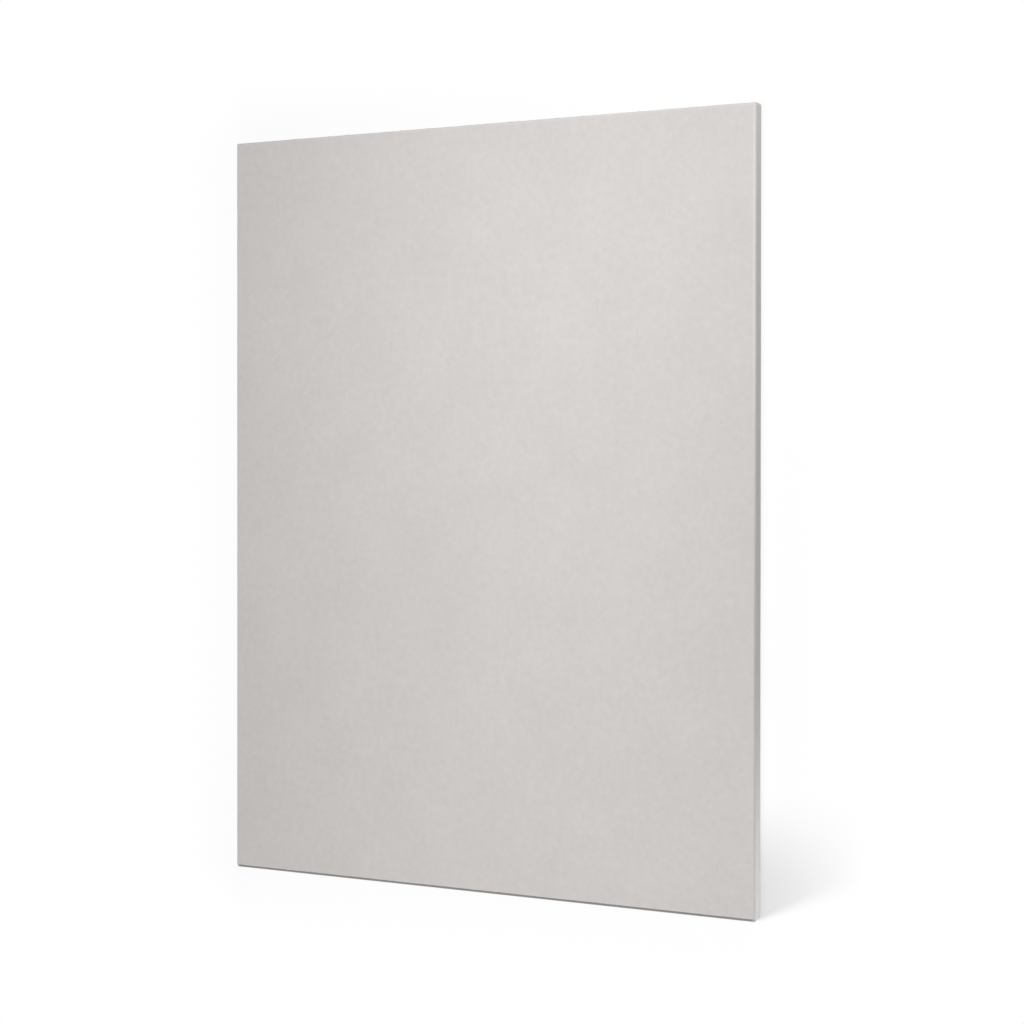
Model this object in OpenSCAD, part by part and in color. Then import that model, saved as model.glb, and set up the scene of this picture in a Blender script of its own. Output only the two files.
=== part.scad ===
// Square-edge drywall sheet: a gypsum board whose face paper folds round both long edges
// and laps onto the back, with its two ends cut square.
// It lies on its back with the face up. X runs across it, Y along the wrapped long edges.
// All sizes are in millimetres.

/* [Sheet] */
// Width between the two wrapped long edges
sheet_w = 457.2; // [200:0.1:1220]
// Length between the two cut ends
sheet_l = 609.6; // [300:0.1:3660]
// Thickness from the back paper to the face
sheet_t = 12.7; // [9.5:0.1:25.4]
// Rounding of the four blunt corners, seen from above
corner_r = 0.8; // [0.5:0.1:6]

/* [Wrapped long edges] */
// Radius of the fold from the face onto a long edge
face_fold_r = 1.8; // [0.5:0.1:3]
// Radius of the fold from a long edge onto the back
back_fold_r = 1.3; // [0.5:0.1:3]
// Width of the face paper that shows on the back beside each long edge
lap_w = 20; // [10:0.5:40]
// Height of the back paper over the lapped face paper
lap_step = 0.3; // [0.2:0.05:0.6]

/* [Cut ends] */
// Rounding of the worn arris where a cut end meets the face
end_face_r = 1; // [0.3:0.1:2]
// Rounding of the worn arris where a cut end meets the back
end_back_r = 0.6; // [0.3:0.1:2]

/* [Hidden] */
$fn = 96;
// Width of the back paper between the two laps
back_paper_w = sheet_w - 2 * lap_w;
// Height of the section above the lapped face paper
wrapped_t = sheet_t - lap_step;
// Length past the sheet that each profile runs before the profiles trim one another
trim_over = 10;

// Rectangle that stands on the X axis, with the Y axis up its middle and its corners rounded
module rounded_rect(width, height, upper_r, lower_r) {
    translate([-width / 2, lower_r])
        square([width, height - upper_r - lower_r]);
    translate([-width / 2 + upper_r, height - 2 * upper_r])
        square([width - 2 * upper_r, 2 * upper_r]);
    translate([-width / 2 + lower_r, 0])
        square([width - 2 * lower_r, 2 * lower_r]);
    for (side = [-1, 1]) {
        translate([side * (width / 2 - upper_r), height - upper_r])
            circle(r = upper_r);
        translate([side * (width / 2 - lower_r), lower_r])
            circle(r = lower_r);
    }
}

// Section across the sheet: the wrapped board, with the back paper standing below it
module wrapped_section() {
    translate([0, lap_step])
        rounded_rect(sheet_w, wrapped_t, face_fold_r, back_fold_r);
    translate([-back_paper_w / 2, 0])
        square([back_paper_w, lap_step + back_fold_r]);
}

// Section along the sheet, from one cut end to the other
module cut_section() {
    rounded_rect(sheet_l, sheet_t, end_face_r, end_back_r);
}

// Outline of the sheet, seen from above
module outline() {
    translate([0, -sheet_l / 2])
        rounded_rect(sheet_w, sheet_l, corner_r, corner_r);
}

// The whole sheet: one piece, where its two sections and its outline meet
module drywall_sheet() {
    color("#d1cdca")
    intersection() {
        translate([0, sheet_l / 2 + trim_over, 0])
            rotate([90, 0, 0])
                linear_extrude(sheet_l + 2 * trim_over)
                    wrapped_section();
        translate([-sheet_w / 2 - trim_over, 0, 0])
            rotate([90, 0, 90])
                linear_extrude(sheet_w + 2 * trim_over)
                    cut_section();
        translate([0, 0, -trim_over])
            linear_extrude(sheet_t + 2 * trim_over)
                outline();
    }
}

drywall_sheet();
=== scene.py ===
# %% [markdown]
# A drywall sheet is a flat slab of foamed gypsum between two papers. The pale face paper folds
# round both long edges and laps onto the back, a browner paper covers the rest of the back, and
# the two cut ends show the chalky core. This lesson dresses the sheet's solid model: first the
# camera, then one closed surface for the board, then its papers and its core, and last the light.

import math
from typing import NamedTuple

import bpy
import numpy as np
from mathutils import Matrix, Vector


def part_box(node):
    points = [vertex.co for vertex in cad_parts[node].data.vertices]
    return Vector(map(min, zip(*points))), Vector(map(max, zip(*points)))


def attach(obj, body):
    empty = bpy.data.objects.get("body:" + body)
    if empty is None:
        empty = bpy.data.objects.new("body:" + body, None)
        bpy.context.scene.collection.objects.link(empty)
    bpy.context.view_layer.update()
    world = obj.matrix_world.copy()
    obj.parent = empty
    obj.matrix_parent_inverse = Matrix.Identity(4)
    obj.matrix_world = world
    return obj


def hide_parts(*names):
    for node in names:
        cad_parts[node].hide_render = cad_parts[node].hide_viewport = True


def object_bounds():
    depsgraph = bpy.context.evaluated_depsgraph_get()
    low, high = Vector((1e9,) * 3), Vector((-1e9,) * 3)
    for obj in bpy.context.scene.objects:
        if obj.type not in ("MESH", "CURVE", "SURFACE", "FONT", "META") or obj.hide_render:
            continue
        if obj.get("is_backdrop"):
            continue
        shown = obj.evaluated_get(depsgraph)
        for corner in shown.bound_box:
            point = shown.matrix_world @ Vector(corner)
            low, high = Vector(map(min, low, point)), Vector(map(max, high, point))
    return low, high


MM = 0.001

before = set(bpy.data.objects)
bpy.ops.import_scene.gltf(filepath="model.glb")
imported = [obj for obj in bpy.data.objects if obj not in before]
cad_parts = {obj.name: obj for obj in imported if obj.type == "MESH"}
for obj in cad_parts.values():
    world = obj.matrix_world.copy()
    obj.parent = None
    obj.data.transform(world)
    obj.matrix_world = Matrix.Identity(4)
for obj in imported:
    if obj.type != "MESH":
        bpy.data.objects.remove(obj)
cad_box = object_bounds()
sheet_low, sheet_high = (np.array(corner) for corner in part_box("drywall_sheet"))
width, length, thick = sheet_high - sheet_low
half_w = width / 2
half_l = length / 2
print("sheet, mm:", np.round(np.array([width, length, thick]) / MM, 2))

# %% [markdown]
# The sheet lies on its back, so a camera that sees its face looks down on it. A long lens keeps
# the long edges nearly parallel. The camera turns about the sheet's length and hardly at all
# otherwise, which keeps those edges upright in the picture, and a small lens shift frames the
# sheet in the middle, as a photographer does with a shift lens instead of tilting the camera.

# %% Camera
IMAGE_PX = 1024
LENS_MM = 67.0
SENSOR_MM = 36.0
# Row of the picture that the lens axis meets
AXIS_ROW_PX = 464.5
CAMERA_PLACE = np.array([0.66215, 0.0412, 1.3750])
CAMERA_TURN = np.radians([-0.242, 24.953, 0.046])

camera_data = bpy.data.cameras.new("camera")
camera_data.lens = LENS_MM
camera_data.sensor_width = SENSOR_MM
camera_data.shift_y = (AXIS_ROW_PX - IMAGE_PX / 2) / IMAGE_PX
camera = bpy.data.objects.new("camera", camera_data)
camera.location = CAMERA_PLACE
camera.rotation_euler = CAMERA_TURN
bpy.context.collection.objects.link(camera)
bpy.context.scene.camera = camera


def picture_place(points):
    """Pixels of points: sideways and upward distance from the lens axis, over depth, times the
    focal length in pixels, from the middle column and the row of the lens axis."""
    camera_axes = np.array(camera.rotation_euler.to_matrix())
    right, up, back = ((np.asarray(points) - CAMERA_PLACE) @ camera_axes).T
    scale = LENS_MM / SENSOR_MM * IMAGE_PX / -back
    return np.stack([IMAGE_PX / 2 + scale * right, AXIS_ROW_PX - scale * up], axis=1)


face_corners = [(sx * half_w, sy * half_l, thick) for sx in (-1, 1) for sy in (-1, 1)]
print("face corners, px:", np.round(picture_place(face_corners), 1).tolist())

# %% [markdown]
# The board is one closed surface. A box cut into a lattice of lines gives it: the lattice points
# on the outside are the vertices, and neighbours share them, so nothing has to be welded. Lines
# crowd together where an edge is rounded and spread out over the flat face. The roundings, the
# lap on the back and the crumbly ends then move those points, all of them at once as arrays.

# %% Lattice lines
FACE_FOLD = 1.8 * MM
BACK_FOLD = 1.3 * MM
END_FACE_ARRIS = 1.0 * MM
END_BACK_ARRIS = 0.6 * MM
PLAN_CORNER = 0.8 * MM
LAP_WIDTH = 20.0 * MM
LAP_STEP = 0.3 * MM
PAPER = 0.4 * MM
PITCH_ACROSS = 1.9 * MM
PITCH_ALONG = 6.0 * MM
PITCH_THROUGH = 0.9 * MM
ARC_LINES = 5
# Lines are rounded to this many decimals of a metre, so that equal ones merge
LINE_DECIMALS = 8
# Lines that spread out from a long edge and from a cut end, and those on both sides of a lap
LONG_EDGE_LINES = np.geomspace(2.6 * MM, 16.0 * MM, 8)
CUT_END_LINES = np.geomspace(2.2 * MM, 12.0 * MM, 6)
LAP_LINES = LAP_WIDTH + np.array([-2.0, -0.8, -0.15, 0.15, 0.8, 2.0]) * MM


def arc_offsets(radius):
    """Distances from an edge of the lines that a rounding needs: the radius times one minus the
    tangent of evenly spaced angles from 0 to 45 degrees."""
    return radius * (1.0 - np.tan(np.linspace(0.0, math.pi / 4, ARC_LINES)))


def lattice_lines(low_offsets, high_offsets, span, pitch):
    """Places along one axis from 0 to the span: the offsets from each end, and even steps of
    about one pitch between the innermost of them."""
    start = low_offsets.max()
    stop = span - high_offsets.max()
    even = np.linspace(start, stop, int(round((stop - start) / pitch)) + 1)
    lines = np.concatenate([low_offsets, even, span - high_offsets])
    return np.unique(np.round(lines, LINE_DECIMALS))


beside_long_edge = np.concatenate([
    arc_offsets(FACE_FOLD), arc_offsets(BACK_FOLD), arc_offsets(PLAN_CORNER), [PAPER],
    LONG_EDGE_LINES, LAP_LINES,
])
beside_cut_end = np.concatenate([
    arc_offsets(END_FACE_ARRIS), arc_offsets(END_BACK_ARRIS), arc_offsets(PLAN_CORNER), CUT_END_LINES,
])
under_face = np.concatenate([arc_offsets(FACE_FOLD), arc_offsets(END_FACE_ARRIS), [PAPER]])
over_back = np.concatenate([arc_offsets(BACK_FOLD), arc_offsets(END_BACK_ARRIS), [PAPER]])
across = lattice_lines(beside_long_edge, beside_long_edge, width, PITCH_ACROSS) - half_w
along = lattice_lines(beside_cut_end, beside_cut_end, length, PITCH_ALONG) - half_l
through = lattice_lines(over_back, under_face, thick, PITCH_THROUGH)
print("lattice lines across, along, through:", across.size, along.size, through.size)

# %% [markdown]
# A box corner becomes a rounding by sliding points along their ray from the rounding's centre.
# The same rule serves the soft folds of the paper, the small worn arris at a cut end and the
# blunt corners seen from above, with a radius for each. A modifier could bevel the box too, but
# only with one width for all its edges, and it would leave the lattice uneven.

# %% Roundings


def round_corner(from_a, from_b, radius):
    """Distances from two faces after rounding: in the square zone where both are under the
    radius, each reach from the centre shrinks by the larger reach over the reach's length."""
    reach_a = np.clip(radius - from_a, 0.0, None)
    reach_b = np.clip(radius - from_b, 0.0, None)
    reach = np.hypot(reach_a, reach_b)
    shrink = np.maximum(reach_a, reach_b) / np.where(reach > 0.0, reach, 1.0)
    shrink = np.where(reach > 0.0, shrink, 1.0)
    return from_a + reach_a * (1.0 - shrink), from_b + reach_b * (1.0 - shrink)


def rounded_board(x, y, z):
    """The box's points with every edge rounded: the folds beside the long edges, the arrises of
    the cut ends, then the four upright corners."""
    for side in (-1, 1):
        from_side, from_face = round_corner(half_w - side * x, thick - z, FACE_FOLD)
        x, z = side * (half_w - from_side), thick - from_face
        from_side, z = round_corner(half_w - side * x, z, BACK_FOLD)
        x = side * (half_w - from_side)
    for end in (-1, 1):
        from_end, from_face = round_corner(half_l - end * y, thick - z, END_FACE_ARRIS)
        y, z = end * (half_l - from_end), thick - from_face
        from_end, z = round_corner(half_l - end * y, z, END_BACK_ARRIS)
        y = end * (half_l - from_end)
        for side in (-1, 1):
            from_side, from_end = round_corner(half_w - side * x, half_l - end * y, PLAN_CORNER)
            x, y = side * (half_w - from_side), end * (half_l - from_end)
    return x, y, z


fold_middle, _ = round_corner(np.array(0.0), np.array(0.0), FACE_FOLD)
print("middle of the face fold, mm from the face and the edge:", round(float(fold_middle) / MM, 3))

# %% [markdown]
# A real board is never quite flat or straight, so its points move once more. A Displace modifier
# with a noise texture could do that, but only by one rule for the whole surface. Sums of plane
# waves in random directions serve each part of the board by a rule of its own. They give smooth
# relief of a chosen size, the same on every run.

# %% Random relief
WAVES = 24
# Least and greatest wave number, over the one that the wavelength gives
WAVE_NUMBERS = (0.6, 1.4)
# A trial along a line: its number of points, and the wavelength and seed of its relief
TRIAL_POINTS = 400
TRIAL_WAVES = (20.0 * MM, 1)


def ripples(u, v, wavelength, seed):
    """Random relief of unit spread: a sum of plane waves near one wavelength, each with its own
    direction and phase, times the root of two over their number."""
    rng = np.random.default_rng(seed)
    turn = rng.uniform(0.0, 2.0 * math.pi, WAVES)
    phase = rng.uniform(0.0, 2.0 * math.pi, WAVES)
    number = 2.0 * math.pi / wavelength * rng.uniform(*WAVE_NUMBERS, WAVES)
    steps = np.multiply.outer(u, np.cos(turn) * number) + np.multiply.outer(v, np.sin(turn) * number)
    return np.cos(steps + phase).sum(axis=-1) * math.sqrt(2.0 / WAVES)


def smooth_step(low, high, value):
    """0 below low, 1 above high. Between them, where t is the share of the way, it is three times
    the square of t less twice its cube."""
    t = np.clip((value - low) / (high - low), 0.0, 1.0)
    return t * t * (3.0 - 2.0 * t)


trial_y = np.linspace(-half_l, half_l, TRIAL_POINTS)
trial_relief = ripples(trial_y, np.zeros(TRIAL_POINTS), *TRIAL_WAVES)
print("relief along a line: mean", round(trial_relief.mean(), 2), "spread", round(trial_relief.std(), 2))

# %% [markdown]
# The edges of a board wander a little, its papers cockle by a few hundredths of a millimetre, and
# the edge of the back paper, where the back steps down to the lapped face paper, is not dead
# straight. All of these are moves of the lattice, because a step made of bump alone would not show
# in the outline. Each move fades out, so the lattice bends and doesn't fold over itself.

# %% Edges and papers
EDGE_WANDER = 0.06 * MM
WANDER_SWING = 0.5
WANDER_REACH = 30.0 * MM
LAP_WANDER = 0.1 * MM
LAP_WANDER_REACH = 1.8 * MM
LAP_HALF_SLOPE = 0.2 * MM
COCKLE = 0.02 * MM
COCKLE_MEAN = 2.0
# Each relief: its wavelength and its seed
LONG_EDGE_WAVES = (170.0 * MM, 3)
CUT_END_WAVES = (120.0 * MM, 4)
LAP_WAVES = (130.0 * MM, 5)
FACE_WAVES = (55.0 * MM, 6)
BACK_WAVES = (70.0 * MM, 7)


def wandering_edges(place, beside, half, waves):
    """One coordinate, after its two edges at plus and minus half have moved in and out along the
    other coordinate. The move is the wander times one plus a swing of relief. It only ever goes
    inwards, and it dies away over a few centimetres."""
    side = np.sign(place)
    inwards = EDGE_WANDER * np.clip(1.0 + WANDER_SWING * ripples(beside, side, *waves), 0.0, None)
    return place - side * inwards * smooth_step(half - WANDER_REACH, half, np.abs(place))


def lapped_back(x, y, z):
    """Lifts the back beside each long edge by the step down from the back paper to the lapped
    face paper, along a line that wanders; the lift fades to nothing at the face."""
    share = 1.0 - z / thick
    lap_line = half_w - LAP_WIDTH
    near_line = 1.0 - smooth_step(0.0, LAP_WANDER_REACH, np.abs(np.abs(x) - lap_line))
    wander = LAP_WANDER * ripples(y, np.sign(x), *LAP_WAVES)
    lift = LAP_STEP * smooth_step(lap_line - LAP_HALF_SLOPE, lap_line + LAP_HALF_SLOPE, np.abs(x))
    return x + np.sign(x) * wander * near_line * share, y, z + lift * share


def cockled_papers(x, y, z):
    """Sinks the face and lifts the back paper by shallow random cockles, from nothing to about
    four times the spread, so that neither stands out past the sheet's flat thickness."""
    face = COCKLE * np.clip(COCKLE_MEAN + ripples(x, y, *FACE_WAVES), 0.0, None)
    back = COCKLE * np.clip(COCKLE_MEAN + ripples(x, y, *BACK_WAVES), 0.0, None)
    return x, y, z - face * (z / thick) + back * (1.0 - z / thick)


trial_edge = wandering_edges(np.full(TRIAL_POINTS, half_w), trial_y, half_w, LONG_EDGE_WAVES)
trial_inwards = (half_w - trial_edge) / MM
print("right edge moves in by, mm:", round(trial_inwards.min(), 3), "to", round(trial_inwards.max(), 3))

# %% [markdown]
# A cut end leaves the core rough, and set back behind two thin lips of paper. Two sizes of crumbs
# and a few pits in the mesh give it a broken outline, as a bump could not. The lips fray a little.

# %% Crumbled ends
CORE_SETBACK = 0.35 * MM
CORE_CRUMBLE = 0.13 * MM
CORE_PIT = 0.45 * MM
LIP_STEP = 0.2 * MM
LIP_FRAY = 0.05 * MM
FRAY_MEAN = 1.5
# Relief at which a pit starts, and at which it has its full depth
PIT_RISE = (1.3, 2.2)
# Each relief: its wavelength and its seed
LARGE_CRUMB_WAVES = (6.0 * MM, 8)
SMALL_CRUMB_WAVES = (2.4 * MM, 9)
PIT_WAVES = (3.4 * MM, 10)
FRAY_WAVES = (3.0 * MM, 11)


def crumbled_ends(x, y, z, is_end):
    """Sets the core back behind the paper at a cut end: a mean set-back, two sizes of crumbs,
    and pits where a third relief passes its threshold. The paper lips stay, and fray a little."""
    from_paper = np.minimum(np.minimum(thick - z, z), half_w - np.abs(x))
    core = smooth_step(PAPER, PAPER + LIP_STEP, from_paper)
    end = np.sign(y)
    crumbs = ripples(x, z + end, *LARGE_CRUMB_WAVES) + ripples(x, z + end, *SMALL_CRUMB_WAVES)
    pits = smooth_step(*PIT_RISE, ripples(x, z + end, *PIT_WAVES))
    fray = LIP_FRAY * (FRAY_MEAN + ripples(x, z + end, *FRAY_WAVES))
    depth = core * (CORE_SETBACK + CORE_CRUMBLE * crumbs + CORE_PIT * pits)
    depth = np.clip(depth, 0.0, None) + (1.0 - core) * np.clip(fray, 0.0, None)
    return x, y - end * depth * is_end, z


trial_x = np.linspace(-half_w, half_w, TRIAL_POINTS)
trial_end, trial_middle = np.full(TRIAL_POINTS, half_l), np.full(TRIAL_POINTS, thick / 2)
_, trial_core, _ = crumbled_ends(trial_x, trial_end, trial_middle, 1.0)
trial_depth = (trial_end - trial_core) / MM
print("core set back, mm: mean", round(trial_depth.mean(), 2), "most", round(trial_depth.max(), 2))

# %% [markdown]
# Now the lattice becomes points. Only those on the outside are kept, and each gets a number for
# the faces to name it by. Building a mesh point by point in a loop would do the same, but arrays
# take all the points through the same moves at once.

# %% Outside points
counts = (across.size, along.size, through.size)
i, j, k = np.meshgrid(*(np.arange(n) for n in counts), indexing="ij")
outside = np.zeros(counts, dtype=bool)
outside[[0, -1]] = True
outside[:, [0, -1]] = True
outside[:, :, [0, -1]] = True
number = np.cumsum(outside).reshape(counts) - 1
i, j, k = i[outside], j[outside], k[outside]
on_end = ((j == 0) | (j == counts[1] - 1)).astype(float)

x, y, z = across[i], along[j], through[k]
x, y, z = crumbled_ends(*rounded_board(x, y, z), on_end)
x, y, z = lapped_back(x, y, z)
x, y, z = cockled_papers(x, y, z)
x = wandering_edges(x, y, half_w, LONG_EDGE_WAVES)
y = wandering_edges(y, x, half_l, CUT_END_WAVES)
points = np.stack([x, y, z], axis=1) + [0.0, 0.0, sheet_low[2]]
print("outside points:", len(points), "of", outside.size, "in the lattice")

# %% [markdown]
# The six sides of the lattice give the quads. Each quad gets one of three finishes: the face
# paper, the back paper or the gypsum core. A finish for each quad keeps the board one piece, as the
# real one is, while its papers and its core still look apart.

# %% Quads and their finishes
FACE_PAPER, BACK_PAPER, CORE = 0, 1, 2


def side_quads(numbers, outwards):
    """Quads of one side of the lattice: each point with its next one along both directions,
    turned the other way round where the side faces down its axis."""
    quads = np.stack([numbers[:-1, :-1], numbers[1:, :-1], numbers[1:, 1:], numbers[:-1, 1:]], axis=-1)
    quads = quads.reshape(-1, 4)
    return quads if outwards else quads[:, ::-1]


middle_x = (across[:-1] + across[1:]) / 2
middle_z = (through[:-1] + through[1:]) / 2
back_band = np.abs(middle_x) < half_w - LAP_WIDTH
back_finish = np.where(back_band[:, None], BACK_PAPER, FACE_PAPER)
back_finish = np.repeat(back_finish, along.size - 1, axis=1)
end_finish = np.full((through.size - 1, across.size - 1), CORE)
end_finish[:, np.abs(middle_x) > half_w - PAPER] = FACE_PAPER
end_finish[middle_z < PAPER] = np.where(back_band, BACK_PAPER, FACE_PAPER)
end_finish[middle_z > thick - PAPER] = FACE_PAPER
edge_finish = np.full((along.size - 1) * (through.size - 1), FACE_PAPER)
face_finish = np.full((across.size - 1) * (along.size - 1), FACE_PAPER)

sides = [
    (side_quads(number[:, :, -1], True), face_finish),
    (side_quads(number[:, :, 0], False), back_finish.ravel()),
    (side_quads(number[-1], True), edge_finish),
    (side_quads(number[0], False), edge_finish),
    (side_quads(number[:, -1].T, True), end_finish.ravel()),
    (side_quads(number[:, 0].T, False), end_finish.ravel()),
]
quads = np.concatenate([quads_of_side for quads_of_side, _ in sides])
finish = np.concatenate([finish_of_side for _, finish_of_side in sides])
print("quads of face paper, back paper, core:", np.bincount(finish).tolist())

# %% [markdown]
# The mesh takes the points and quads as they are. It is shaded smooth, so that the folds look
# round, apart from the sharper edges, such as those round the cut core. The board then takes the
# place of the solid model's sheet.

# %% Board
SHARP_ANGLE = math.radians(40.0)

board_mesh = bpy.data.meshes.new("wrapped_board")
board_mesh.from_pydata(points.tolist(), [], quads.tolist())
board_mesh.polygons.foreach_set("material_index", finish.astype(np.int32))
board_mesh.polygons.foreach_set("use_smooth", np.ones(finish.size, dtype=bool))
board_mesh.update()
board_mesh.set_sharp_from_angle(angle=SHARP_ANGLE)
board = bpy.data.objects.new("wrapped_board", board_mesh)
bpy.context.collection.objects.link(board)
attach(board, "root")
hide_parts("drywall_sheet")
print("board: points", len(points), "triangles", 2 * len(quads))

# %% [markdown]
# Paper and plaster are mostly colour that varies a little, so their shaders are arithmetic on
# noise. Such a sum can be wired by hand in the shader editor, where it soon becomes a web. Wrapping
# a node's output in a small class lets it read as Python: adding or multiplying two fields adds
# the Math node that does it.

# %% Fields


class Field:
    """One output of a shader node. Sums and products of fields and numbers add Math nodes."""

    def __init__(self, paint, socket):
        self.paint = paint
        self.socket = socket

    def math(self, operation, first, second=0.0):
        return self.paint.node("ShaderNodeMath", {"operation": operation}, {0: first, 1: second})

    def __add__(self, other):
        return self.math("ADD", self, other)

    def __radd__(self, other):
        return self.math("ADD", other, self)

    def __sub__(self, other):
        return self.math("SUBTRACT", self, other)

    def __rsub__(self, other):
        return self.math("SUBTRACT", other, self)

    def __mul__(self, other):
        return self.math("MULTIPLY", self, other)

    def __rmul__(self, other):
        return self.math("MULTIPLY", other, self)

    def __truediv__(self, other):
        return self.math("DIVIDE", self, other)

    def __rtruediv__(self, other):
        return self.math("DIVIDE", other, self)

    def __abs__(self):
        return self.math("ABSOLUTE", self)

    def larger(self, other):
        return self.math("MAXIMUM", self, other)

    def smaller(self, other):
        return self.math("MINIMUM", self, other)

    def step(self, low, high):
        """0 below low, 1 above high, with a smooth rise between."""
        return self.paint.node("ShaderNodeMapRange", {"interpolation_type": "SMOOTHSTEP"},
                               {"Value": self, "From Min": low, "From Max": high})


print("what a field can do:", [name for name, value in vars(Field).items() if callable(value)])

# %% [markdown]
# The nodes themselves come from a second class, which holds the tree that is being written. One
# method adds any node, and the others name the few kinds that papers and plaster need. A grain
# keeps together what one noise of a finish is like. To see it work, one expression is written into
# a trial material, which is then thrown away.

# %% Paint


class Grain(NamedTuple):
    """One noise of a finish: the size of its blotches, or a size for each axis, which draws them
    out; how far it changes the brightness; and how fine and how rough it is."""
    size: object
    spread: float
    detail: float = 2.0
    roughness: float = 0.5


class Paint:
    """A node tree being written. node() adds one node, sets it up, fills in or links its sockets
    and gives back one of its outputs."""

    def __init__(self, tree):
        self.tree = tree
        tree.nodes.clear()

    def node(self, kind, settings=None, sockets=None, output=0):
        made = self.tree.nodes.new(kind)
        for name, value in (settings or {}).items():
            setattr(made, name, value)
        for name, value in (sockets or {}).items():
            if isinstance(value, Field):
                self.tree.links.new(value.socket, made.inputs[name])
            else:
                made.inputs[name].default_value = value
        return Field(self, made.outputs[output]) if len(made.outputs) else None

    def place(self):
        """Object coordinates, in metres."""
        return self.node("ShaderNodeTexCoord", output="Object")

    def part(self, vector, axis):
        """One of the three numbers of a vector."""
        return self.node("ShaderNodeSeparateXYZ", {}, {"Vector": vector}, output=axis)

    def noise(self, place, grain):
        """Noise about its mean: twice what is over a half, so from about -1 to 1."""
        scale = tuple(1.0 / np.broadcast_to(grain.size, 3))
        drawn = self.node("ShaderNodeMapping", {}, {"Vector": place, "Scale": scale})
        grey = self.node("ShaderNodeTexNoise", {}, {
            "Vector": drawn, "Scale": 1.0, "Detail": grain.detail, "Roughness": grain.roughness})
        return (grey - 0.5) * 2.0

    def mix(self, share, first, second):
        """One colour where share is 0, the other where it is 1."""
        return self.node("ShaderNodeMix", {"data_type": "RGBA"},
                         {0: share, 6: first, 7: second}, output=2)

    def tone(self, colour, brightness):
        """A colour times a number that changes over the surface."""
        return self.node("ShaderNodeVectorMath", {"operation": "SCALE"},
                         {"Vector": colour, "Scale": brightness})

    def bump(self, height, distance):
        """A normal tilted by the slopes of a height field; distance is a height of 1, in metres."""
        return self.node("ShaderNodeBump", {}, {
            "Strength": 1.0, "Distance": distance, "Height": height})

    def surface(self, colour, roughness, normal, specular):
        """A matt surface, and the material's output."""
        shader = self.node("ShaderNodeBsdfPrincipled", {}, {
            "Base Color": colour, "Roughness": roughness, "Normal": normal,
            "Specular IOR Level": specular})
        self.node("ShaderNodeOutputMaterial", {}, {"Surface": shader})


def new_paint(name):
    """An empty material and the paint that fills it."""
    material = bpy.data.materials.new(name)
    material.use_nodes = True
    return material, Paint(material.node_tree)


trial, trial_paint = new_paint("trial")
trial_field = 1.0 - abs(trial_paint.part(trial_paint.place(), "X")) / half_w
trial_nodes = [node.name for node in trial.node_tree.nodes]
print("1 - abs(x) / half_w:", trial_nodes, "the last to", trial_field.socket.node.operation)
bpy.data.materials.remove(trial)

# %% [markdown]
# Gypsum dust has whitened the face paper's long edges. The right-hand fold is darker towards the
# near end, and paler towards the far end, as is the paper along that end: that paleness is a painted
# highlight. A painted mask could hold this, but each mark follows an edge, so its distance from that
# edge says where it is, and the mottle of the paper breaks it up.

# %% Dust, darker fold line and painted highlight of the face paper
DUST_COLOUR = (0.616, 0.603, 0.614, 1.0)
DUST_FADE = (0.1 * MM, FACE_FOLD)
DUST_SHARE = 0.8
# A darker line along the right-hand fold, strongest towards the near end
DARKER_FOLD_COLOUR = (0.33, 0.315, 0.29, 1.0)
DARKER_FOLD_LINE = 0.9 * MM
DARKER_FOLD_FADE = (-150.0 * MM, 120.0 * MM)
DARKER_FOLD_SHARE = 0.45
# Painted highlight: a paler colour on the right-hand fold towards the far end, and along the far end
HIGHLIGHT_COLOUR = (0.70, 0.675, 0.645, 1.0)
HIGHLIGHT_LINE = 1.9 * MM
HIGHLIGHT_FADE = (0.0, 160.0 * MM)
HIGHLIGHT_SHARE = 0.85
FAR_HIGHLIGHT_FADE = (half_l - 3.2 * MM, half_l - 0.8 * MM)
FAR_HIGHLIGHT_SHARE = 0.6
# How wide the darker fold line and the painted highlight are, and how patchy
FOLD_LINE_FADE = (0.3 * MM, 1.1 * MM)
LINE_PATCHES = 0.2


def dust_line_and_highlight(paint, colour, x, y, mottle):
    """A colour mixed with that of dust, a darker fold line and a painted highlight in turn. Dust goes by
    nearness to a long edge. The darker line and the painted highlight go by nearness to a line on the
    right-hand fold and one just inside it, and fade along the sheet. The painted highlight is also
    beside the far end. Both are patchy, by the mottle."""
    dust = 1.0 - (half_w - abs(x)).step(*DUST_FADE)
    darker_fold_line, highlight_line = (1.0 - abs(half_w - x - line).step(*FOLD_LINE_FADE)
                             for line in (DARKER_FOLD_LINE, HIGHLIGHT_LINE))
    darker_fold = darker_fold_line * (1.0 - y.step(*DARKER_FOLD_FADE)) * (DARKER_FOLD_SHARE + mottle * LINE_PATCHES)
    painted_highlight = (highlight_line * y.step(*HIGHLIGHT_FADE)).larger(y.step(*FAR_HIGHLIGHT_FADE) * FAR_HIGHLIGHT_SHARE)
    painted_highlight = painted_highlight * (HIGHLIGHT_SHARE + mottle * LINE_PATCHES)
    colour = paint.mix(dust * DUST_SHARE, colour, DUST_COLOUR)
    colour = paint.mix(darker_fold, colour, DARKER_FOLD_COLOUR)
    return paint.mix(painted_highlight, colour, HIGHLIGHT_COLOUR)


fold_lines = [round(line / MM, 1) for line in (DARKER_FOLD_LINE, HIGHLIGHT_LINE)]
print("rub and polish, mm from the right-hand edge:", fold_lines)

# %% [markdown]
# The face paper itself is a smooth warm grey sheet made from recycled fibre. Up close it is cloudy,
# as pulp settles unevenly, and finely streaked along the sheet, the way the fibres ran through the
# machine. From a step back only a faint mottling is left. A picture of real paper would repeat or
# blur at some distance, so noises of a few sizes make it, the finest drawn out along the sheet.

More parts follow.
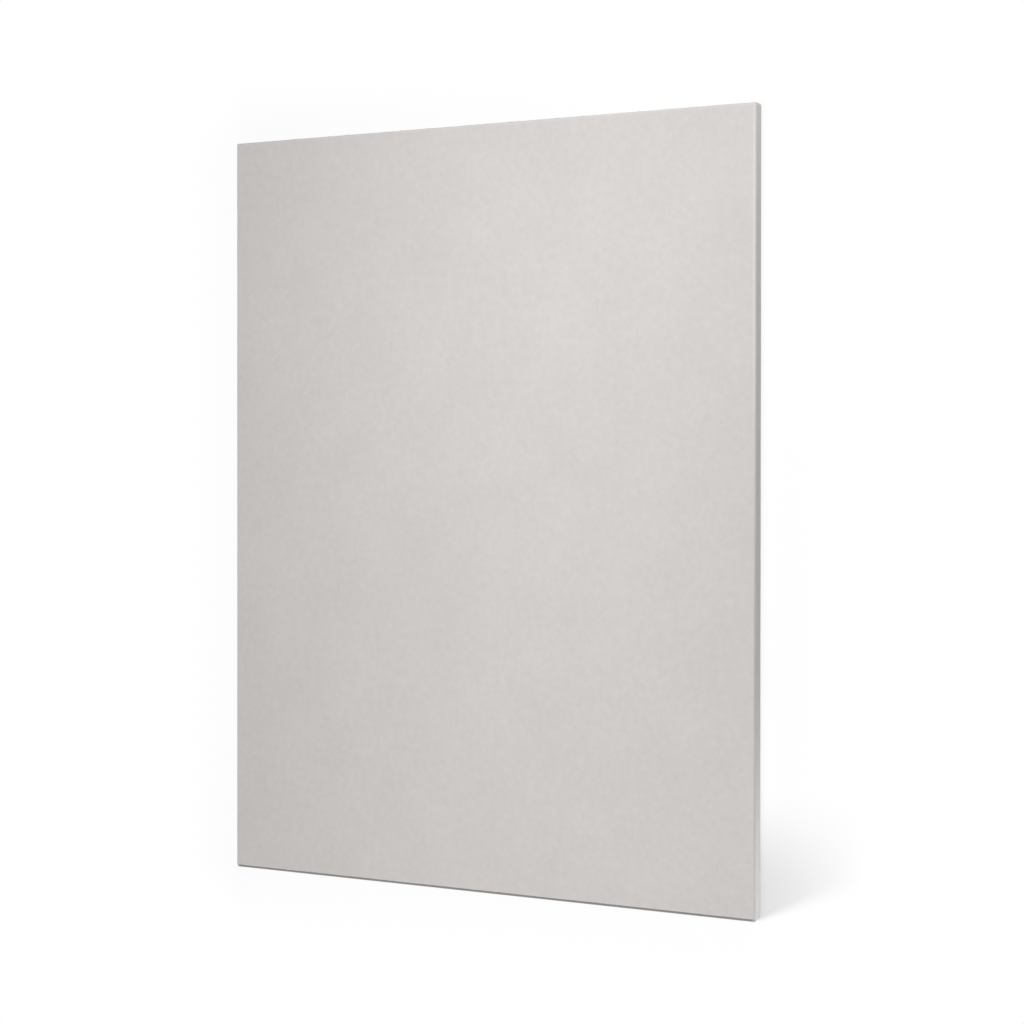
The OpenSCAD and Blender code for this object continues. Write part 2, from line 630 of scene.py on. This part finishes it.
# %% Face paper
FACE_COLOUR = (0.624, 0.596, 0.577)
FACE_CLOUD = Grain(45.0 * MM, spread=0.042)
FACE_MOTTLE = Grain(6.0 * MM, spread=0.062, roughness=0.6)
FACE_FIBRE = Grain((1.0 * MM, 3.6 * MM, 1.0 * MM), spread=0.032, roughness=0.6)
FACE_FLECK = Grain((0.5 * MM, 2.4 * MM, 0.5 * MM), spread=0.035, detail=0.0)
FACE_FLECK_RISE = (0.55, 0.75)
FACE_ROUGHNESS = 0.84
FACE_MOTTLE_HEIGHT = 0.6
FACE_BUMP = 0.012 * MM
FACE_SPECULAR = 0.25
FIBRE_ROUGHNESS = 0.05


def face_paper():
    """Colour: the paper's grey times one plus cloud, mottle and fibre, each noise times its small
    spread, less the flecks; then the dust, the darker fold line and the painted highlight. Bump: mottle
    and fibre."""
    material, paint = new_paint("face_paper")
    place = paint.place()
    x, y = paint.part(place, "X"), paint.part(place, "Y")
    cloud, mottle, fibre = (paint.noise(place, grain) for grain in (FACE_CLOUD, FACE_MOTTLE, FACE_FIBRE))
    fleck = paint.noise(place, FACE_FLECK).step(*FACE_FLECK_RISE)
    bright = 1.0 + cloud * FACE_CLOUD.spread + mottle * FACE_MOTTLE.spread
    bright = bright + fibre * FACE_FIBRE.spread - fleck * FACE_FLECK.spread
    colour = dust_line_and_highlight(paint, paint.tone(FACE_COLOUR, bright), x, y, mottle)
    roughness = FACE_ROUGHNESS + fibre * FIBRE_ROUGHNESS
    normal = paint.bump(mottle * FACE_MOTTLE_HEIGHT + fibre, FACE_BUMP)
    paint.surface(colour, roughness, normal, FACE_SPECULAR)
    return material


def dress(material):
    """Gives the board its next finish, in the order of their numbers."""
    board_mesh.materials.append(material)
    print("finish:", material.name, "nodes", len(material.node_tree.nodes))


dress(face_paper())

# %% [markdown]
# The back paper is a plain, browner sheet with longer fibres, darker flecks and faint streaks
# along it. Nobody finishes it, so it keeps more of the pulp's colour. It is made as the face paper
# is, with noises of other sizes and stronger bump.

# %% Back paper
BACK_COLOUR = (0.400, 0.345, 0.285)
BACK_CLOUD = Grain(90.0 * MM, spread=0.07)
BACK_STREAK = Grain((9.0 * MM, 160.0 * MM, 9.0 * MM), spread=0.05)
BACK_MOTTLE = Grain(6.0 * MM, spread=0.06, detail=3.0, roughness=0.65)
BACK_FIBRE = Grain((0.7 * MM, 4.5 * MM, 0.7 * MM), spread=0.08, detail=3.0, roughness=0.6)
BACK_FLECK = Grain((0.7 * MM, 3.0 * MM, 0.7 * MM), spread=0.4, detail=1.0)
BACK_FLECK_RISE = (0.45, 0.7)
BACK_FLECK_COLOUR = (0.24, 0.20, 0.16, 1.0)
BACK_ROUGHNESS = 0.9
BACK_MOTTLE_HEIGHT = 0.5
BACK_BUMP = 0.025 * MM
BACK_SPECULAR = 0.2


def back_paper():
    """Colour: kraft brown times one plus cloud, streak, mottle and fibre, mixed towards a darker
    brown at the flecks, which are the peaks of a drawn-out noise. Bump: mottle and fibre."""
    material, paint = new_paint("back_paper")
    place = paint.place()
    cloud, streak, mottle, fibre = (
        paint.noise(place, grain) for grain in (BACK_CLOUD, BACK_STREAK, BACK_MOTTLE, BACK_FIBRE))
    fleck = paint.noise(place, BACK_FLECK).step(*BACK_FLECK_RISE)
    bright = 1.0 + cloud * BACK_CLOUD.spread + streak * BACK_STREAK.spread
    bright = bright + mottle * BACK_MOTTLE.spread + fibre * BACK_FIBRE.spread
    colour = paint.mix(fleck * BACK_FLECK.spread, paint.tone(BACK_COLOUR, bright), BACK_FLECK_COLOUR)
    roughness = BACK_ROUGHNESS + fibre * FIBRE_ROUGHNESS
    normal = paint.bump(mottle * BACK_MOTTLE_HEIGHT + fibre, BACK_BUMP)
    paint.surface(colour, roughness, normal, BACK_SPECULAR)
    return material


dress(back_paper())

# %% [markdown]
# The core is foamed plaster: chalky, off-white and full of bubbles that the cut has opened. The
# mesh holds the crumbs and the larger pits; the finer bubbles are bump, with a little painted shade
# in them. They sit at scattered points, each with a radius of its own, so that no two look alike.

# %% Gypsum core
CORE_COLOUR = (0.80, 0.785, 0.75)
# Painted shade: the grey that the bubbles are mixed towards
CORE_PIT_SHADE = (0.50, 0.485, 0.45, 1.0)
CORE_GRAIN = Grain(1.1 * MM, spread=0.08, detail=4.0, roughness=0.7)
CORE_STAIN = Grain(25.0 * MM, spread=0.04)
CORE_GRAIN_HEIGHT = 0.5
CORE_BUMP = 0.25 * MM
CORE_ROUGHNESS = 0.93
CORE_SPECULAR = 0.15
# Each size of bubble: its spacing and how much painted shade it gets; the fine ones also their bump
# depth
FINE_SPACING = 0.8 * MM
FINE_PIT_SHADE = 0.22
FINE_DEPTH = 0.35
COARSE_SPACING = 2.3 * MM
COARSE_PIT_SHADE = 0.28
# Greatest radius of a bubble and the two sides of its rim, as shares of the spacing
BUBBLE_RADIUS = 0.45
BUBBLE_RIM = (-0.12, 0.04)


def bubbles(paint, place, spacing):
    """1 inside bubbles, 0 between them: nearer to a scattered point than its radius, which is a
    random share of the greatest one."""
    scatter = {"Vector": place, "Scale": 1.0 / spacing, "Randomness": 1.0}
    distance = paint.node("ShaderNodeTexVoronoi", {}, scatter, output="Distance")
    chance = paint.part(paint.node("ShaderNodeTexVoronoi", {}, scatter, output="Color"), "X")
    return 1.0 - (distance - chance * BUBBLE_RADIUS).step(*BUBBLE_RIM)


def gypsum_core():
    """Colour: chalk white times one plus grain and stain, mixed a little towards a grey of painted
    shade in bubbles of two sizes. Bump: grain less bubbles."""
    material, paint = new_paint("gypsum_core")
    place = paint.place()
    grain, stain = (paint.noise(place, noise) for noise in (CORE_GRAIN, CORE_STAIN))
    fine, coarse = (bubbles(paint, place, spacing) for spacing in (FINE_SPACING, COARSE_SPACING))
    bright = 1.0 + grain * CORE_GRAIN.spread + stain * CORE_STAIN.spread
    pit_shade = fine * FINE_PIT_SHADE + coarse * COARSE_PIT_SHADE
    colour = paint.mix(pit_shade, paint.tone(CORE_COLOUR, bright), CORE_PIT_SHADE)
    normal = paint.bump(grain * CORE_GRAIN_HEIGHT - fine * FINE_DEPTH - coarse, CORE_BUMP)
    paint.surface(colour, CORE_ROUGHNESS, normal, CORE_SPECULAR)
    return material


dress(gypsum_core())

# %% [markdown]
# The light is a plain studio. Two soft lamps over the right half of the sheet make its face fade
# towards the left and the bottom, and a wide lamp high up fills it evenly. Three more stand far off
# and low, one at the left, one in front and one behind, for the left edge and the two cut ends. Two
# small ones close by, beyond the far right and the near right corner, make the folded edge paler
# towards its ends. A sky picture could light the sheet too, but lamps can be set one by one. Each
# lamp's power follows from the light that it is to give, where a light of 1 in all lets a colour
# render as it is written.

# %% Lamps
MIDDLE = (0.0, 0.0, thick)
# Each lamp: its name, its place, what it aims at, its width and height, and its light there
LAMPS = [
    ("upper_lamp", (0.09, 0.265, 0.555), (0.09, 0.265, thick), (0.25, 0.25), 0.568),
    ("lower_lamp", (0.05, -0.302, 0.546), (0.05, -0.302, thick), (0.25, 0.25), 0.283),
    ("fill_lamp", (0.90, 0.10, 3.00), MIDDLE, (1.2, 1.2), 0.246),
    ("left_lamp", (-2.55, -1.40, 0.70), MIDDLE, (0.8, 0.8), 0.33),
    ("front_lamp", (0.40, -2.40, 0.90), MIDDLE, (0.8, 0.8), 0.30),
    ("back_lamp", (1.20, 2.20, 0.90), MIDDLE, (0.8, 0.8), 0.20),
    ("far_corner_lamp", (half_w + 0.12, half_l + 0.10, 0.06),
     (half_w, half_l, thick), (0.08, 0.08), 0.25),
    ("near_corner_lamp", (half_w + 0.19, -0.32, 0.035),
     (half_w, -0.31, thick / 2), (0.06, 0.05), 0.525),
]


def soft_lamp(name, place, aim, size, light):
    """An area lamp that lights a surface at its aim, square on to it: its power is pi squared
    times the light and the distance squared."""
    throw = np.array(place) - np.array(aim)
    distance = np.linalg.norm(throw)
    lamp = bpy.data.lights.new(name, "AREA")
    lamp.shape = "RECTANGLE"
    lamp.size, lamp.size_y = size
    lamp.energy = math.pi ** 2 * light * distance ** 2
    lamp_object = bpy.data.objects.new(name, lamp)
    lamp_object.location = place
    turn = math.atan2(throw[1], throw[0]) + math.pi / 2
    lamp_object.rotation_euler = (math.acos(throw[2] / distance), 0.0, turn)
    lamp_object.visible_camera = False
    bpy.context.collection.objects.link(lamp_object)
    print("lamp:", name, "watts", round(lamp.energy, 2), "metres away", round(distance, 2))


for lamp_values in LAMPS:
    soft_lamp(*lamp_values)

# %% [markdown]
# Two shadows lie on the floor, as in a retouched studio picture. The lamps alone would give other
# ones, so both are part of the floor's finish. The first is soft and grey, and fans out to the
# right from the near right corner.

# %% Fanned shadow
FAN_GREY = 0.73
FAN_WIDTH = 80.0 * MM
# Where it starts, from just inside the right-hand edge
FAN_START = (-3.5 * MM, -1.0 * MM)
# Where it fades away from the near end, towards the far one
FAN_FADE = (18.0 * MM, 100.0 * MM)
# Its lower edge: how far past the near end it starts, its slope, its blur and how the blur grows
FAN_DROP = 2.3 * MM
FAN_SLOPE = 0.48
FAN_BLUR = 2.0 * MM
FAN_SPREAD = 0.17


def fanned_shadow(x, y):
    """1 at the near right corner, fading in three ways: evenly to the right, smoothly away from
    the near end, and across a slanting lower edge that starts a little past the near end and
    whose blur widens with distance."""
    right_of, inside = x - half_w, y + half_l
    fade = (1.0 - right_of / FAN_WIDTH).larger(0.0) * right_of.step(*FAN_START)
    upwards = 1.0 - inside.step(*FAN_FADE)
    above_edge = inside + FAN_DROP - right_of * FAN_SLOPE
    edge = above_edge / (right_of * FAN_SPREAD + FAN_BLUR)
    return fade * upwards * edge.step(-1.0, 1.0)


print("fanned shadow, mm: wide", round(FAN_WIDTH / MM), "long", round((FAN_FADE[1] + FAN_DROP) / MM))

# %% [markdown]
# The second shadow is short and dark, where the sheet meets the floor along its near end and its
# left edge. It is what the sheet's outline sweeps as it moves a few millimetres to the left and
# towards the near end, so a few straight lines bound it. Round the near right corner it thins out.

# %% Cast shadow
CAST_COLOUR = (0.155, 0.15, 0.14, 1.0)
CAST_LEFT = 8.8 * MM
CAST_NEAR = 5.5 * MM
CAST_INSET = 0.7 * MM
CAST_BLUR = 0.6 * MM
CAST_SOFT = 3.0 * MM
# At the near right corner: the trimming line's slope and blur, and the shadow's weaker share
CORNER_SLOPE = 1.15
CORNER_BLUR = 1.2 * MM
CORNER_SHARE = 0.6
# Distances from the right-hand edge over which the shadow starts, and gets its full strength
CORNER_START = (-0.4 * MM, 1.6 * MM)
CORNER_GAIN = (3.0 * MM, 8.0 * MM)


def cast_shadow(x, y):
    """1 in the short shadow that the sheet's outline sweeps as it moves to the left and past its
    near end: inside the left, far and near sides of the two places, and nearer than a slanting
    line between their far left corners. Its left side is softer. At the near right corner a
    second slanting line trims it, and it is weaker."""
    move = math.hypot(CAST_LEFT, CAST_NEAR)
    slant_x, slant_y = CAST_NEAR / move, CAST_LEFT / move
    from_right = half_w - x
    inside_left = x + half_w + CAST_LEFT
    inside_y = half_l + CAST_NEAR / 2 - abs(y + CAST_NEAR / 2)
    inside_slant = (x + half_w) * slant_x - (y - half_l) * slant_y
    inside_corner = from_right * CORNER_SLOPE + y + half_l
    soft = inside_left.smaller(inside_slant).step(CAST_INSET, CAST_INSET + CAST_SOFT)
    crisp = inside_y.step(CAST_INSET, CAST_INSET + CAST_BLUR)
    trimmed = inside_corner.step(0.0, CORNER_BLUR) * from_right.step(*CORNER_START)
    weaker = CORNER_SHARE + (1.0 - CORNER_SHARE) * from_right.step(*CORNER_GAIN)
    return soft * crisp * trimmed * weaker


cast_reach = [round(reach / MM, 1) for reach in (CAST_LEFT, CAST_NEAR)]
print("cast shadow, mm: to the left and past the near end", cast_reach)

# %% [markdown]
# The floor is white. What the camera sees of it is mostly a white of strength 1, and the real,
# shaded floor shows through it only faintly, round the sheet. More light on the floor would whiten
# it too, but it would also bleach the board. The light that bounces off the floor stays that of a
# plain white floor.

# %% White floor
FLOOR_HALF = 6.0
FLOOR_GAP = 0.05 * MM
FLOOR_WHITE = 0.8
ROUND_SHARE = 0.12
ROUND_REACH = 70.0 * MM


def grey_colour(level):
    """A grey of one level, with full alpha."""
    return (level, level, level, 1.0)


def seen_directly(paint):
    """1 for rays from the camera, and for those that metal or glass would show; 0 for bounces."""
    camera_ray, glossy, through_glass = (
        paint.node("ShaderNodeLightPath", output=ray)
        for ray in ("Is Camera Ray", "Is Glossy Ray", "Is Transmission Ray"))
    return (camera_ray + glossy + through_glass).smaller(1.0)


def white_floor():
    """Plain white for bounced light. For the camera, white of strength 1, darkened by the fanned
    and the cast shadow, takes the place of all but a small share of it round the sheet and of
    all of it further off."""
    material, paint = new_paint("white_floor")
    place = paint.place()
    x, y = paint.part(place, "X"), paint.part(place, "Y")
    beyond = (abs(x) - half_w).larger(0.0) + (abs(y) - half_l).larger(0.0)
    share = ROUND_SHARE * (1.0 - beyond.step(0.0, ROUND_REACH))
    seen_white = paint.mix(fanned_shadow(x, y), grey_colour(1.0), grey_colour(FAN_GREY))
    seen_white = paint.mix(cast_shadow(x, y), seen_white, CAST_COLOUR)
    seen = seen_directly(paint)
    bounced = paint.mix(seen, grey_colour(FLOOR_WHITE), grey_colour(1.0))
    shaded = paint.node("ShaderNodeBsdfDiffuse", {}, {"Color": bounced})
    plain = paint.node("ShaderNodeEmission", {}, {"Color": seen_white, "Strength": 1.0})
    both = paint.node("ShaderNodeMixShader", {}, {0: seen * (1.0 - share), 1: shaded, 2: plain})
    paint.node("ShaderNodeOutputMaterial", {}, {"Surface": both})
    return material


floor_mesh = bpy.data.meshes.new("floor")
floor_corners = [(-1, -1), (1, -1), (1, 1), (-1, 1)]
floor_mesh.from_pydata([(FLOOR_HALF * a, FLOOR_HALF * b, sheet_low[2] - FLOOR_GAP)
                        for a, b in floor_corners], [], [(0, 1, 2, 3)])
floor = bpy.data.objects.new("floor", floor_mesh)
floor_mesh.materials.append(white_floor())
bpy.context.collection.objects.link(floor)
floor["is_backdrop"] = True
print("floor: metres wide", 2 * FLOOR_HALF, "nodes", len(floor_mesh.materials[0].node_tree.nodes))

# %% [markdown]
# The sky closes the scene. The camera sees it as plain white, like the floor, while the light that
# it gives the board is faint and even, and only keeps the shaded sides from going black.

# %% Sky
SKY_LIGHT = 0.05

world = bpy.data.worlds.new("sky")
world.use_nodes = True
sky = Paint(world.node_tree)
sky_strength = seen_directly(sky) * (1.0 - SKY_LIGHT) + SKY_LIGHT
sky_light = sky.node("ShaderNodeBackground", {}, {"Color": grey_colour(1.0), "Strength": sky_strength})
sky.node("ShaderNodeOutputWorld", {}, {"Surface": sky_light})
bpy.context.scene.world = world
bpy.context.scene.view_settings.view_transform = "Standard"
print("sky: light", SKY_LIGHT, "nodes", len(world.node_tree.nodes))

# %% [markdown]
# The last step measures the dressed sheet and prints how far its box is from that of the solid
# model.

# %% Sizes
visual_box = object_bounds()
box_change = np.array(visual_box) - np.array(cad_box)
print("visual box less CAD box, mm:", np.round(box_change / MM, 3).tolist())
